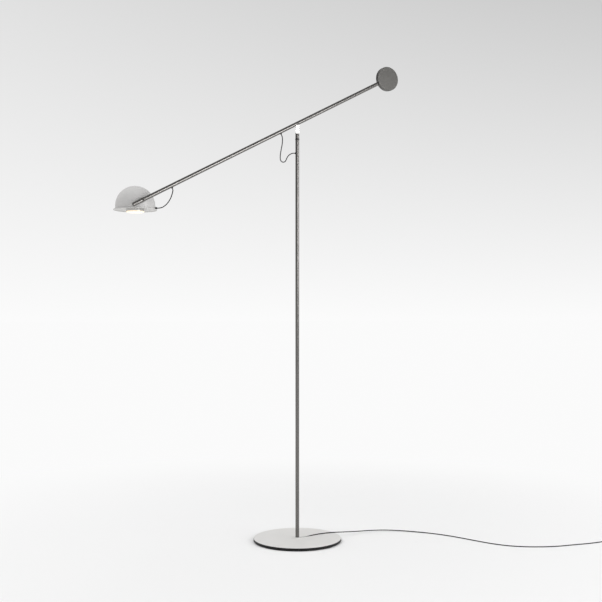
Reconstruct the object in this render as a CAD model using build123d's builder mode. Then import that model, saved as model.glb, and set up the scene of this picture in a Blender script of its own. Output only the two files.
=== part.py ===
from build123d import *
import os
from math import cos, pi, radians, sin, sqrt, tan

os.makedirs("parts", exist_ok=True)

# An adjustable floor lamp: a round weighted base, a thin pole, and a long arm that swivels and
# tilts on the pole's top. A disc counterweight at one end balances a domed light at the other.
# Millimetres, +Z up. The origin is on the floor under the pole's axis. At rest the arm lies in
# the XZ plane, with its light towards -X and its counterweight towards +X.

# Base
BASE_RADIUS = 140.0
PAD_THICKNESS = 1.2
PLATE_TOP = 9.2
BASE_TOP = 10.0
FLANGE_RADIUS = 17.0
FLANGE_THICKNESS = 1.5

# Pole and swivel
TUBE_RADIUS = 6.0
TUBE_BORE = 5.0
PRESS_GAP = 0.05
SOCKET_BOTTOM = 1245.0
SOCKET_SEAM = 1255.0
SOCKET_TOP = 1284.4
WASHER_TOP = 1288.0
COLLAR_TOP = 1306.0
SPINDLE_RADIUS = 3.0
RUNNING_GAP = 0.05
STOP_HEIGHT = 1270.0
STOP_LAND = 20.0

# Arm, measured along its axis from the tilt pivot, positive towards the counterweight
PIVOT_HEIGHT = 1337.0
ARM_TILT = 28.0
ARM_TIP = -615.0
ARM_END = 339.0
NECK_THICKNESS = 3.0
NECK_RADIUS = 4.5
SLOT_HALF_LENGTH = 16.0
PIN_RADIUS = 2.0
SCREW_HEAD_RADIUS = 3.1
DISC_ALONG = 384.0
DISC_RADIUS = 40.0
DISC_THICKNESS = 12.0

# Head: a dome beside the arm, hung on a pin through the arm
HEAD_X = -513.0
HEAD_Y = 73.0
DOME_RADIUS = 60.0
DOME_CENTRE = 1054.0
RIM_HEIGHT = 1043.5
SHEET = 1.0
BRIM_RADIUS = 65.5
DIFFUSER_RADIUS = 26.5

# The lead, one thin round cable all the way from the adaptor to the light
LEAD_DIAMETER = 3.0
LEAD_RADIUS = LEAD_DIAMETER / 2
HIDDEN_BEND = 3.0
GROMMET_FACE = 7.6
POLE_HOLE_HEIGHT = 1241.0
ARM_HOLES = (-69.0, -481.0)
GROOVE_END = 52.0
LEAD_START = 12.0

PIVOT = Vector(0, 0, PIVOT_HEIGHT)
ARM_ALONG = Vector(cos(radians(ARM_TILT)), 0, sin(radians(ARM_TILT)))
ARM_DOWN = Vector(sin(radians(ARM_TILT)), 0, -cos(radians(ARM_TILT)))
PIN_ALONG = HEAD_X / cos(radians(ARM_TILT))
PIN_HEIGHT = PIVOT_HEIGHT + PIN_ALONG * sin(radians(ARM_TILT))
GLAND_SIDE = Vector(0.889, -0.457, 0).normalized()
GLAND_HEIGHT = 1046.9
GLAND_FACE = 66.0
HEAD_AXIS = Axis((HEAD_X, HEAD_Y, 0), (0, 0, 1))
HEAD_PROFILE = Plane(origin=(HEAD_X, HEAD_Y, 0), x_dir=(1, 0, 0), z_dir=(0, -1, 0))


def arm_point(along, down=0.0, side=0.0):
    return PIVOT + ARM_ALONG * along + ARM_DOWN * down + Vector(0, side, 0)


def across_arm(along):
    """A plane square to the arm: its local x points down from the arm, its local y along +Y."""
    return Plane(origin=arm_point(along), x_dir=ARM_DOWN, z_dir=ARM_ALONG)


def under_arm(along, down):
    """A plane that faces away from the arm's underside."""
    return Plane(origin=arm_point(along, down), x_dir=ARM_ALONG, z_dir=ARM_DOWN)


def side_of_arm(along, y):
    """A plane that faces +Y beside the arm: its local x runs along the arm, its local y up."""
    return Plane(origin=arm_point(along, 0, y), x_dir=-ARM_ALONG, z_dir=(0, 1, 0))


def gland_plane(distance):
    """A plane that faces outwards through the head's cable gland."""
    origin = Vector(HEAD_X, HEAD_Y, GLAND_HEIGHT) + GLAND_SIDE * distance
    return Plane(origin=origin, x_dir=(0, 0, 1), z_dir=GLAND_SIDE)


def write(piece, name):
    piece.part.label = name
    export_step(piece.part, f"parts/{name}.step")


# --- Lead routes -------------------------------------------------------------------------


def corner_radii(points):
    """The largest tangent arc for each corner: 0.45 of the shorter run over tan(half the turn)."""
    runs = [b - a for a, b in zip(points, points[1:])]
    radii = []
    for before, after in zip(runs, runs[1:]):
        half_turn = radians(before.get_angle(after)) / 2
        radii.append(0.45 * min(before.length, after.length) / tan(half_turn))
    return radii


def tube(points, radii, name):
    """A plain round cable along straight runs and tangent arcs."""
    start = points[1] - points[0]
    with BuildPart() as cable:
        with BuildLine() as route:
            if radii:
                FilletPolyline(*points, radius=radii)
            else:
                Line(*points)
        with BuildSketch(Plane(origin=points[0], z_dir=start)):
            Circle(LEAD_RADIUS)
        sweep()
    length = sum(edge.length for edge in route.edges())
    share = cable.part.volume / (pi * LEAD_RADIUS**2 * length)
    print(name, "length", round(length, 1), "volume share", round(share, 4),
          "radii", [round(r, 1) for r in radii])
    write(cable, name)
    return length


foot_exit = Vector(LEAD_START, 0, BASE_TOP - LEAD_RADIUS - 0.1)
pole_exit = Vector(-GROMMET_FACE, 0, POLE_HOLE_HEIGHT)
arm_exits = [arm_point(along, GROMMET_FACE) for along in ARM_HOLES]
gland_exit = gland_plane(GLAND_FACE).origin

COIL_X = 912.0
COIL_Y = -478.0
COIL_RADIUS = 16.0
COIL_BUNDLE = 9.2
COIL_HEIGHT = 6.2
coil_side = sqrt((COIL_RADIUS + COIL_BUNDLE / 2 - 0.6) ** 2 - COIL_RADIUS**2)

supply_route = [foot_exit] + [
    Vector(*p)
    for p in [
        (26.0, 0.0, 8.4),
        (40.0, 0.1, 10.0),
        (55.0, 0.4, 11.9),
        (84.0, 6.0, 12.1),
        (124.0, 6.6, 12.0),
        (166.0, -2.0, 10.6),
        (214.0, -5.5, 8.4),
        (267.0, -6.0, 6.2),
        (322.0, -16.0, 4.2),
        (371.0, -48.0, 2.9),
        (423.0, -98.0, 1.7),
        (458.0, -150.0, 1.5),
        (483.0, -206.0, 1.5),
        (503.0, -263.0, 1.5),
        (524.0, -319.0, 1.5),
        (553.0, -368.0, 1.5),
        (594.0, -403.0, 1.5),
        (640.0, -427.0, 1.5),
        (690.0, -444.0, 1.5),
        (742.0, -450.0, 1.5),
        (797.0, -460.0, 1.5),
        (852.0, -463.0, 1.7),
    ]
] + [Vector(COIL_X - coil_side, COIL_Y + COIL_RADIUS, 1.8)]

loop_route = [pole_exit] + [
    Vector(*p)
    for p in [
        (-15.6, 0, 1241.0),
        (-24.0, 0, 1237.6),
        (-31.8, 0, 1231.8),
        (-37.0, 0, 1224.4),
        (-40.5, 0, 1215.4),
        (-46.4, 0, 1209.5),
        (-54.6, 0, 1209.5),
        (-60.5, 0, 1215.4),
        (-61.0, 0, 1227.0),
        (-59.2, 0, 1240.0),
        (-56.6, 0, 1253.0),
        (-53.8, 0, 1266.0),
        (-52.6, 0, 1279.0),
    ]
] + [arm_point(ARM_HOLES[0], GROMMET_FACE + 8.5), arm_exits[0]]
LOOP_SPLIT = 7

head_route = [arm_exits[1], arm_point(ARM_HOLES[1], GROMMET_FACE + 5.5)] + [
    Vector(*p)
    for p in [
        (-419.6, 2.5, 1091.0),
        (-421.2, 7.0, 1081.0),
        (-423.8, 13.5, 1071.0),
        (-428.2, 22.0, 1061.2),
        (-434.6, 31.2, 1053.0),
    ]
] + [gland_plane(GLAND_FACE + 11).origin, gland_exit]

# --- Base ----------------------------------------------------------------------------------

with BuildPart() as base_pad:
    with BuildSketch(Plane.XY):
        Circle(BASE_RADIUS - 3)
    extrude(amount=PAD_THICKNESS)
write(base_pad, "base_pad")

NIPPLE_RADIUS = TUBE_BORE - PRESS_GAP
NIPPLE_BOTTOM = 1.5
NIPPLE_TOP = 45.0
NUT_HEIGHT = 2.0
WASHER_HEIGHT = 0.6
RECESS_TOP = PAD_THICKNESS + 3.0
RECESS_RADIUS = 10.0
WASHER_RADIUS = 9.0
NUT_RADIUS = 8.2
NIPPLE_BORE = 3.2
GROOVE_WIDTH = LEAD_DIAMETER + 0.5
GROOVE_FLOOR = BASE_TOP - LEAD_DIAMETER - 0.3

with BuildPart() as base_plate:
    with BuildSketch(Plane.XY.offset(PAD_THICKNESS)):
        Circle(BASE_RADIUS)
    extrude(amount=PLATE_TOP - PAD_THICKNESS)
    chamfer(base_plate.edges().filter_by(GeomType.CIRCLE), 0.5)
    with BuildSketch(Plane.XY):
        Circle(TUBE_BORE)
    extrude(amount=PLATE_TOP, mode=Mode.SUBTRACT)
    with BuildSketch(Plane.XY):
        Circle(RECESS_RADIUS)
    extrude(amount=RECESS_TOP, mode=Mode.SUBTRACT)
    with BuildSketch(Plane.XY.offset(GROOVE_FLOOR)):
        with Locations((GROOVE_END / 2, 0)):
            SlotOverall(GROOVE_END + GROOVE_WIDTH, GROOVE_WIDTH)
    extrude(amount=PLATE_TOP, mode=Mode.SUBTRACT)
write(base_plate, "base_plate")

with BuildPart() as base_cover:
    with BuildSketch(Plane.XY.offset(PLATE_TOP)):
        Circle(BASE_RADIUS - 0.6)
        Circle(TUBE_BORE, mode=Mode.SUBTRACT)
    extrude(amount=BASE_TOP - PLATE_TOP)
    chamfer(base_cover.edges().group_by(Axis.Z)[-1].sort_by(SortBy.RADIUS)[-1], 0.3)
    with BuildSketch(Plane.XY):
        with Locations((GROOVE_END / 2, 0)):
            SlotOverall(GROOVE_END + GROOVE_WIDTH, GROOVE_WIDTH)
    extrude(amount=BASE_TOP, mode=Mode.SUBTRACT)
write(base_cover, "base_cover")

with BuildPart() as foot_nipple:
    with BuildSketch(Plane.XY.offset(NIPPLE_BOTTOM)):
        Circle(NIPPLE_RADIUS)
        Circle(NIPPLE_BORE, mode=Mode.SUBTRACT)
    extrude(amount=NIPPLE_TOP - NIPPLE_BOTTOM)
    with BuildSketch(Plane.XY.offset(GROOVE_FLOOR)):
        with Locations((TUBE_RADIUS / 2, 0)):
            Rectangle(TUBE_RADIUS, GROOVE_WIDTH)
    extrude(amount=BASE_TOP + 1 - GROOVE_FLOOR, mode=Mode.SUBTRACT)
write(foot_nipple, "foot_nipple")

with BuildPart() as foot_washer:
    with BuildSketch(Plane.XY.offset(RECESS_TOP - WASHER_HEIGHT)):
        Circle(WASHER_RADIUS)
        Circle(TUBE_BORE, mode=Mode.SUBTRACT)
    extrude(amount=WASHER_HEIGHT)
write(foot_washer, "foot_washer")

with BuildPart() as foot_nut:
    with BuildSketch(Plane.XY.offset(RECESS_TOP - WASHER_HEIGHT - NUT_HEIGHT)):
        RegularPolygon(NUT_RADIUS, 6)
        Circle(NIPPLE_RADIUS + 0.02, mode=Mode.SUBTRACT)
    extrude(amount=NUT_HEIGHT)
write(foot_nut, "foot_nut")

with BuildPart() as foot_flange:
    with BuildSketch(Plane.XY.offset(BASE_TOP)):
        Circle(FLANGE_RADIUS)
        Circle(TUBE_RADIUS + PRESS_GAP, mode=Mode.SUBTRACT)
    extrude(amount=FLANGE_THICKNESS)
    chamfer(foot_flange.edges().group_by(Axis.Z)[-1].sort_by(SortBy.RADIUS)[-1], 0.5)
write(foot_flange, "foot_flange")

# --- Pole ----------------------------------------------------------------------------------

GROMMET_BODY = 2.5
GROMMET_FLANGE = 3.2
GROMMET_INSIDE = 4.4

with BuildPart() as pole_tube:
    with BuildSketch(Plane.XY.offset(BASE_TOP)):
        Circle(TUBE_RADIUS)
        Circle(TUBE_BORE, mode=Mode.SUBTRACT)
    extrude(amount=SOCKET_SEAM - BASE_TOP)
    with BuildSketch(Plane(origin=(0, 0, POLE_HOLE_HEIGHT), z_dir=(-1, 0, 0))):
        Circle(GROMMET_BODY)
    extrude(amount=TUBE_RADIUS + 1, mode=Mode.SUBTRACT)
write(pole_tube, "pole_tube")

with BuildPart() as pole_grommet:
    pole_side = Plane(origin=(-GROMMET_INSIDE, 0, POLE_HOLE_HEIGHT), z_dir=(-1, 0, 0))
    with BuildSketch(pole_side):
        Circle(GROMMET_FLANGE)
    extrude(amount=GROMMET_FACE - GROMMET_INSIDE)
    with BuildSketch(Plane.XY.offset(POLE_HOLE_HEIGHT - 10)):
        Circle(TUBE_RADIUS)
    extrude(amount=20, mode=Mode.SUBTRACT)
    with BuildSketch(pole_side):
        Circle(GROMMET_BODY)
    extrude(amount=GROMMET_FACE - GROMMET_INSIDE)
    with BuildSketch(pole_side):
        Circle(LEAD_RADIUS)
    extrude(amount=GROMMET_FACE, mode=Mode.SUBTRACT)
write(pole_grommet, "pole_grommet")

with BuildPart() as swivel_socket:
    with BuildSketch(Plane.XY.offset(SOCKET_SEAM)):
        Circle(TUBE_RADIUS)
    extrude(amount=SOCKET_TOP - SOCKET_SEAM)
    chamfer(swivel_socket.edges().filter_by(GeomType.CIRCLE), 0.3)
    with BuildSketch(Plane.XY.offset(SOCKET_BOTTOM)):
        Circle(TUBE_BORE - PRESS_GAP)
    extrude(amount=SOCKET_SEAM - SOCKET_BOTTOM)
    with BuildSketch(Plane.XY.offset(SOCKET_BOTTOM + 3)):
        Circle(SPINDLE_RADIUS + RUNNING_GAP)
    extrude(amount=SOCKET_TOP, mode=Mode.SUBTRACT)
    with BuildSketch(Plane(origin=(0, 0, STOP_HEIGHT), z_dir=(0, 1, 0))):
        Circle(1.5)
    extrude(amount=TUBE_RADIUS + 1, mode=Mode.SUBTRACT)
write(swivel_socket, "swivel_socket")

STOP_TIP = 2.4
GROOVE_RADIUS = 2.2
GROOVE_HEIGHT = 2.4

with BuildPart() as swivel_stop_screw:
    with BuildSketch(Plane(origin=(0, SPINDLE_RADIUS + 0.2, STOP_HEIGHT), z_dir=(0, 1, 0))):
        Circle(1.48)
        RegularPolygon(0.8, 6, mode=Mode.SUBTRACT)
    extrude(amount=TUBE_RADIUS - SPINDLE_RADIUS - 0.6)
    with BuildSketch(Plane(origin=(0, STOP_TIP, STOP_HEIGHT), z_dir=(0, 1, 0))):
        Circle(1.0)
    extrude(amount=SPINDLE_RADIUS + 1 - STOP_TIP)
write(swivel_stop_screw, "swivel_stop_screw")

# --- Swivel --------------------------------------------------------------------------------

NECK_FOOT = COLLAR_TOP - 4.0
SPINDLE_TOP = NECK_FOOT - 0.5

with BuildPart() as swivel_washer:
    with BuildSketch(Plane.XY.offset(SOCKET_TOP + 0.1)):
        Circle(TUBE_RADIUS + 0.8)
        Circle(SPINDLE_RADIUS + RUNNING_GAP, mode=Mode.SUBTRACT)
    extrude(amount=WASHER_TOP - SOCKET_TOP - 0.1)
    fillet(swivel_washer.faces().sort_by(Axis.Z)[-1].outer_wire().edges(), 0.6)
write(swivel_washer, "swivel_washer")

land = radians(STOP_LAND / 2 - 90)
land_plane = Plane(
    origin=(0, 0, 0), x_dir=(cos(land), sin(land), 0), z_dir=(sin(land), -cos(land), 0)
)
with BuildPart() as swivel_spindle:
    with BuildSketch(Plane.XY.offset(SOCKET_BOTTOM + 4)):
        Circle(SPINDLE_RADIUS)
    extrude(amount=SPINDLE_TOP - SOCKET_BOTTOM - 4)
    with BuildSketch(land_plane):
        with Locations((GROOVE_RADIUS + 1, STOP_HEIGHT)):
            Rectangle(2, GROOVE_HEIGHT)
    revolve(axis=Axis.Z, revolution_arc=360 - STOP_LAND, mode=Mode.SUBTRACT)
write(swivel_spindle, "swivel_spindle")

with BuildPart() as swivel_collar:
    with BuildSketch(Plane.XY.offset(WASHER_TOP)):
        Circle(TUBE_RADIUS)
    extrude(amount=COLLAR_TOP - WASHER_TOP)
    chamfer(swivel_collar.edges().filter_by(GeomType.CIRCLE), 0.4)
    with BuildSketch(Plane.XY.offset(WASHER_TOP)):
        Circle(SPINDLE_RADIUS + 0.02)
    extrude(amount=SPINDLE_TOP - WASHER_TOP, mode=Mode.SUBTRACT)
    with BuildSketch(Plane.XY.offset(NECK_FOOT)):
        Rectangle(2 * NECK_RADIUS + 0.84, NECK_THICKNESS + 0.04)
    extrude(amount=COLLAR_TOP, mode=Mode.SUBTRACT)
write(swivel_collar, "swivel_collar")

with BuildPart() as neck_plate:
    with BuildSketch(Plane.XZ.offset(-NECK_THICKNESS / 2)):
        with BuildLine():
            Line((-NECK_RADIUS - 0.4, NECK_FOOT), (NECK_RADIUS + 0.4, NECK_FOOT))
            Line((NECK_RADIUS + 0.4, NECK_FOOT), (NECK_RADIUS, PIVOT_HEIGHT))
            CenterArc((0, PIVOT_HEIGHT), NECK_RADIUS, 0, 180)
            Line((-NECK_RADIUS, PIVOT_HEIGHT), (-NECK_RADIUS - 0.4, NECK_FOOT))
        make_face()
        with Locations((0, PIVOT_HEIGHT)):
            Circle(PIN_RADIUS + RUNNING_GAP, mode=Mode.SUBTRACT)
    extrude(amount=NECK_THICKNESS)
write(neck_plate, "neck_plate")

# --- Arm -----------------------------------------------------------------------------------

CAP_FLANGE = 1.5
BLOCK_RADIUS = TUBE_BORE - PRESS_GAP
BLOCK_HALF_LENGTH = 24.0
HEAD_BEARING = 3.4
WASHER_SLOT = 3.8

with BuildPart() as arm_tube:
    with BuildSketch(across_arm(ARM_TIP + CAP_FLANGE)):
        Circle(TUBE_RADIUS)
        Circle(TUBE_BORE, mode=Mode.SUBTRACT)
    extrude(amount=ARM_END - ARM_TIP - CAP_FLANGE)
    with BuildSketch(under_arm(0, 0)):
        SlotOverall(2 * SLOT_HALF_LENGTH, WASHER_SLOT)
    extrude(amount=TUBE_RADIUS + 1, mode=Mode.SUBTRACT)
    for along in ARM_HOLES:
        with BuildSketch(under_arm(along, 0)):
            Circle(GROMMET_BODY)
        extrude(amount=TUBE_RADIUS + 1, mode=Mode.SUBTRACT)
    for along in (0, PIN_ALONG):
        with BuildSketch(side_of_arm(along, 0)):
            Circle(SCREW_HEAD_RADIUS + RUNNING_GAP)
        extrude(amount=TUBE_RADIUS + 1, both=True, mode=Mode.SUBTRACT)
write(arm_tube, "arm_tube")

with BuildPart() as pivot_block:
    with BuildSketch(across_arm(-BLOCK_HALF_LENGTH)):
        Circle(BLOCK_RADIUS)
    extrude(amount=2 * BLOCK_HALF_LENGTH)
    with BuildSketch(under_arm(0, 0)):
        SlotOverall(2 * SLOT_HALF_LENGTH + 2, WASHER_SLOT)
    extrude(amount=TUBE_RADIUS, both=True, mode=Mode.SUBTRACT)
    with BuildSketch(side_of_arm(0, 0)):
        Circle(PIN_RADIUS)
    extrude(amount=TUBE_RADIUS, both=True, mode=Mode.SUBTRACT)
    for facing in (-1, 1):
        with BuildSketch(side_of_arm(0, facing * HEAD_BEARING)):
            Circle(SCREW_HEAD_RADIUS + RUNNING_GAP)
        extrude(amount=facing * TUBE_RADIUS, mode=Mode.SUBTRACT)
write(pivot_block, "pivot_block")

with BuildPart() as friction_washers:
    for facing in (-1, 1):
        with BuildSketch(side_of_arm(0, facing * (NECK_THICKNESS / 2 + 0.03))):
            Circle(4)
            Circle(PIN_RADIUS + RUNNING_GAP, mode=Mode.SUBTRACT)
        extrude(amount=facing * 0.34)
write(friction_washers, "friction_washers")


def pin_screw(along, head_y, bearing_y, end_y):
    """A slotted pan screw through the arm, its head on the -Y side."""
    with BuildPart() as screw:
        with BuildSketch(side_of_arm(along, head_y)):
            Circle(SCREW_HEAD_RADIUS)
        extrude(amount=bearing_y - head_y)
        chamfer(screw.edges().filter_by(GeomType.CIRCLE).sort_by(Axis.Y)[0], 0.4)
        with BuildSketch(side_of_arm(along, bearing_y)):
            Circle(PIN_RADIUS)
        extrude(amount=end_y - bearing_y)
        with BuildSketch(side_of_arm(along, head_y)):
            Rectangle(2 * SCREW_HEAD_RADIUS + 1, 0.9)
        extrude(amount=0.9, mode=Mode.SUBTRACT)
    return screw


tilt_screw = pin_screw(0, -TUBE_RADIUS - 0.3, -HEAD_BEARING, 5.0)
write(tilt_screw, "tilt_screw")

with BuildPart() as tilt_nut:
    with BuildSketch(side_of_arm(0, HEAD_BEARING)):
        Circle(SCREW_HEAD_RADIUS)
    extrude(amount=TUBE_RADIUS + 0.3 - HEAD_BEARING)
    chamfer(tilt_nut.edges().filter_by(GeomType.CIRCLE).sort_by(Axis.Y)[-1], 0.4)
    with BuildSketch(side_of_arm(0, HEAD_BEARING)):
        Circle(PIN_RADIUS)
    extrude(amount=5.0 - HEAD_BEARING, mode=Mode.SUBTRACT)
write(tilt_nut, "tilt_nut")

with BuildPart() as arm_grommets:
    for along in ARM_HOLES:
        with BuildSketch(under_arm(along, GROMMET_INSIDE)):
            Circle(GROMMET_FLANGE)
        extrude(amount=GROMMET_FACE - GROMMET_INSIDE)
    with BuildSketch(across_arm(ARM_TIP)):
        Circle(TUBE_RADIUS)
    extrude(amount=-ARM_TIP, mode=Mode.SUBTRACT)
    for along in ARM_HOLES:
        with BuildSketch(under_arm(along, GROMMET_INSIDE)):
            Circle(GROMMET_BODY)
        extrude(amount=GROMMET_FACE - GROMMET_INSIDE)
        with BuildSketch(under_arm(along, GROMMET_INSIDE)):
            Circle(LEAD_RADIUS)
        extrude(amount=GROMMET_FACE, mode=Mode.SUBTRACT)
write(arm_grommets, "arm_grommets")

TIP_PLUG_END = PIN_ALONG + 12

with BuildPart() as arm_tip_cap:
    with BuildSketch(across_arm(ARM_TIP)):
        Circle(TUBE_RADIUS)
    extrude(amount=CAP_FLANGE)
    fillet(arm_tip_cap.edges().filter_by(GeomType.CIRCLE).sort_by(Axis.X)[0], 1.0)
    with BuildSketch(across_arm(ARM_TIP + CAP_FLANGE)):
        Circle(BLOCK_RADIUS)
    extrude(amount=TIP_PLUG_END - ARM_TIP - CAP_FLANGE)
    with BuildSketch(side_of_arm(PIN_ALONG, 0)):
        Circle(PIN_RADIUS)
    extrude(amount=TUBE_RADIUS, both=True, mode=Mode.SUBTRACT)
    with BuildSketch(side_of_arm(PIN_ALONG, -HEAD_BEARING)):
        Circle(SCREW_HEAD_RADIUS + RUNNING_GAP)
    extrude(amount=-TUBE_RADIUS, mode=Mode.SUBTRACT)
write(arm_tip_cap, "arm_tip_cap")

SADDLE_FACE = 7.0
SADDLE_BODY = TUBE_BORE - 0.05

with BuildPart() as saddle_washer:
    with BuildSketch(side_of_arm(PIN_ALONG, 3)):
        Circle(5)
    extrude(amount=SADDLE_FACE - 3)
    with BuildSketch(across_arm(TIP_PLUG_END - 30)):
        Circle(TUBE_RADIUS)
    extrude(amount=50, mode=Mode.SUBTRACT)
    with BuildSketch(side_of_arm(PIN_ALONG, SADDLE_BODY)):
        Circle(SCREW_HEAD_RADIUS)
    extrude(amount=SADDLE_FACE - SADDLE_BODY)
    with BuildSketch(side_of_arm(PIN_ALONG, 0)):
        Circle(PIN_RADIUS)
    extrude(amount=SADDLE_FACE, mode=Mode.SUBTRACT)
write(saddle_washer, "saddle_washer")

HUB_START = 7.8
head_screw = pin_screw(PIN_ALONG, -TUBE_RADIUS - 0.3, -HEAD_BEARING, HUB_START + 5)
write(head_screw, "head_screw")

STUD_RADIUS = 3.5
NECK_END_RADIUS = 4.6
SPOT_RADIUS = 4.8
spot_face = DISC_ALONG - sqrt(DISC_RADIUS**2 - SPOT_RADIUS**2)

with BuildPart() as counterweight_stud:
    with BuildSketch(across_arm(ARM_END - 14)):
        Circle(BLOCK_RADIUS)
    extrude(amount=14)
    with BuildSketch(across_arm(ARM_END)):
        Circle(TUBE_RADIUS)
    with BuildSketch(across_arm(spot_face)):
        Circle(NECK_END_RADIUS)
    loft()
    with BuildSketch(across_arm(spot_face)):
        Circle(STUD_RADIUS)
    extrude(amount=16)
write(counterweight_stud, "counterweight_stud")

LOCK_ALONG = spot_face + 9

with BuildPart() as counterweight_disc:
    with BuildSketch(side_of_arm(DISC_ALONG, -DISC_THICKNESS / 2)):
        Circle(DISC_RADIUS)
    extrude(amount=DISC_THICKNESS)
    fillet(counterweight_disc.edges().filter_by(GeomType.CIRCLE), 0.8)
    with BuildSketch(across_arm(ARM_END)):
        Circle(SPOT_RADIUS)
    extrude(amount=spot_face - ARM_END, mode=Mode.SUBTRACT)
    with BuildSketch(across_arm(spot_face)):
        Circle(STUD_RADIUS)
    extrude(amount=16.5, mode=Mode.SUBTRACT)
    with BuildSketch(side_of_arm(LOCK_ALONG, 0)):
        Circle(2)
    extrude(amount=DISC_THICKNESS, mode=Mode.SUBTRACT)
write(counterweight_disc, "counterweight_disc")

with BuildPart() as counterweight_lock_screw:
    with BuildSketch(side_of_arm(LOCK_ALONG, STUD_RADIUS + 0.02)):
        Circle(1.98)
        RegularPolygon(1.1, 6, mode=Mode.SUBTRACT)
    extrude(amount=DISC_THICKNESS / 2 - STUD_RADIUS - 0.4)
write(counterweight_lock_screw, "counterweight_lock_screw")

# --- Head ----------------------------------------------------------------------------------

PIN_CENTRE = (HEAD_X, 0, PIN_HEIGHT)
DOME_POINT = (HEAD_X, HEAD_Y, DOME_CENTRE)
HUB_RADIUS = 7.0
HUB_STUD = 3.0


def head_pin_plane(y):
    return Plane(origin=(HEAD_X, y, PIN_HEIGHT), x_dir=(-1, 0, 0), z_dir=(0, 1, 0))


def dome_ball(radius):
    with Locations(DOME_POINT):
        Sphere(radius, mode=Mode.SUBTRACT)


with BuildPart() as head_friction_washer:
    with BuildSketch(head_pin_plane(SADDLE_FACE + 0.05)):
        Circle(5.5)
        Circle(PIN_RADIUS + RUNNING_GAP, mode=Mode.SUBTRACT)
    extrude(amount=HUB_START - SADDLE_FACE - 0.1)
write(head_friction_washer, "head_friction_washer")

with BuildPart() as head_hub:
    with BuildSketch(head_pin_plane(HUB_START)):
        Circle(HUB_RADIUS)
    extrude(amount=12)
    chamfer(head_hub.edges().filter_by(GeomType.CIRCLE).sort_by(Axis.Y)[0], 0.6)
    dome_ball(DOME_RADIUS + 0.02)
    with BuildSketch(head_pin_plane(HUB_START + 2)):
        Circle(HUB_STUD)
    extrude(amount=15.5)
    with BuildSketch(head_pin_plane(HUB_START)):
        Circle(PIN_RADIUS + RUNNING_GAP)
    extrude(amount=5.4, mode=Mode.SUBTRACT)
write(head_hub, "head_hub")

with BuildPart() as hub_backing_washer:
    with BuildSketch(head_pin_plane(19.5)):
        Circle(8)
        Circle(HUB_STUD + 0.02, mode=Mode.SUBTRACT)
    extrude(amount=-8)
    with Locations(DOME_POINT):
        Sphere(DOME_RADIUS - SHEET - 0.05, mode=Mode.INTERSECT)
write(hub_backing_washer, "hub_backing_washer")

with BuildPart() as hub_nut:
    with BuildSketch(head_pin_plane(19.52)):
        RegularPolygon(5.8, 6)
        Circle(HUB_STUD + 0.02, mode=Mode.SUBTRACT)
    extrude(amount=3.4)
write(hub_nut, "hub_nut")

with BuildPart() as dome_shade:
    with BuildSketch(HEAD_PROFILE):
        with BuildLine():
            CenterArc((0, DOME_CENTRE), DOME_RADIUS, 0, 90)
            Line((0, DOME_CENTRE + DOME_RADIUS), (0, DOME_CENTRE + DOME_RADIUS - SHEET))
            CenterArc((0, DOME_CENTRE), DOME_RADIUS - SHEET, 0, 90)
            Line((DOME_RADIUS - SHEET, DOME_CENTRE), (DOME_RADIUS - SHEET, RIM_HEIGHT))
            Line((DOME_RADIUS - SHEET, RIM_HEIGHT), (DOME_RADIUS, RIM_HEIGHT))
            Line((DOME_RADIUS, RIM_HEIGHT), (DOME_RADIUS, DOME_CENTRE))
        make_face()
    revolve(axis=HEAD_AXIS)
    with BuildSketch(head_pin_plane(0)):
        Circle(HUB_STUD + RUNNING_GAP)
    extrude(amount=30, mode=Mode.SUBTRACT)
    with BuildSketch(gland_plane(DOME_RADIUS - 6)):
        Circle(GROMMET_BODY)
    extrude(amount=12, mode=Mode.SUBTRACT)
write(dome_shade, "dome_shade")

DISH_HOLE = DIFFUSER_RADIUS + 0.5
DISH_RISE = 4.4
SEAT_INNER = DOME_RADIUS - SHEET - 0.4


def dish_top(radius):
    """The height of the dish's upper, sloping face."""
    return RIM_HEIGHT + DISH_RISE * (SEAT_INNER - radius) / (SEAT_INNER - DISH_HOLE)


BOSS_RADIUS = 35.0
DISH_SHEET = 1.2
LEG_RADIUS = 3.2
SCREW_RADIUS = 1.5
sink_bottom = dish_top(BOSS_RADIUS) + 4.2
head_screws = PolarLocations(BOSS_RADIUS, 3, start_angle=90)

with BuildPart() as brim_dish:
    with BuildSketch(HEAD_PROFILE):
        with BuildLine():
            Polyline(
                (BRIM_RADIUS, RIM_HEIGHT - 3),
                (BRIM_RADIUS, RIM_HEIGHT - 0.4),
                (DOME_RADIUS + 0.2, RIM_HEIGHT),
                (SEAT_INNER, RIM_HEIGHT),
                (DISH_HOLE, RIM_HEIGHT + DISH_RISE),
                (DISH_HOLE, RIM_HEIGHT + DISH_RISE - DISH_SHEET),
                (SEAT_INNER, RIM_HEIGHT - DISH_SHEET),
                (BRIM_RADIUS - 1.2, RIM_HEIGHT - 1.8),
                (BRIM_RADIUS - 1.2, RIM_HEIGHT - 3),
                close=True,
            )
        make_face()
    revolve(axis=HEAD_AXIS)
    with BuildSketch(Plane(origin=(HEAD_X, HEAD_Y, RIM_HEIGHT - 5))):
        with head_screws:
            Circle(SCREW_RADIUS + 0.1)
    extrude(amount=15, mode=Mode.SUBTRACT)
write(brim_dish, "brim_dish")

LIP_BOTTOM = RIM_HEIGHT + DISH_RISE + 0.05
DRUM_BOTTOM = RIM_HEIGHT - 9.5

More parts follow.
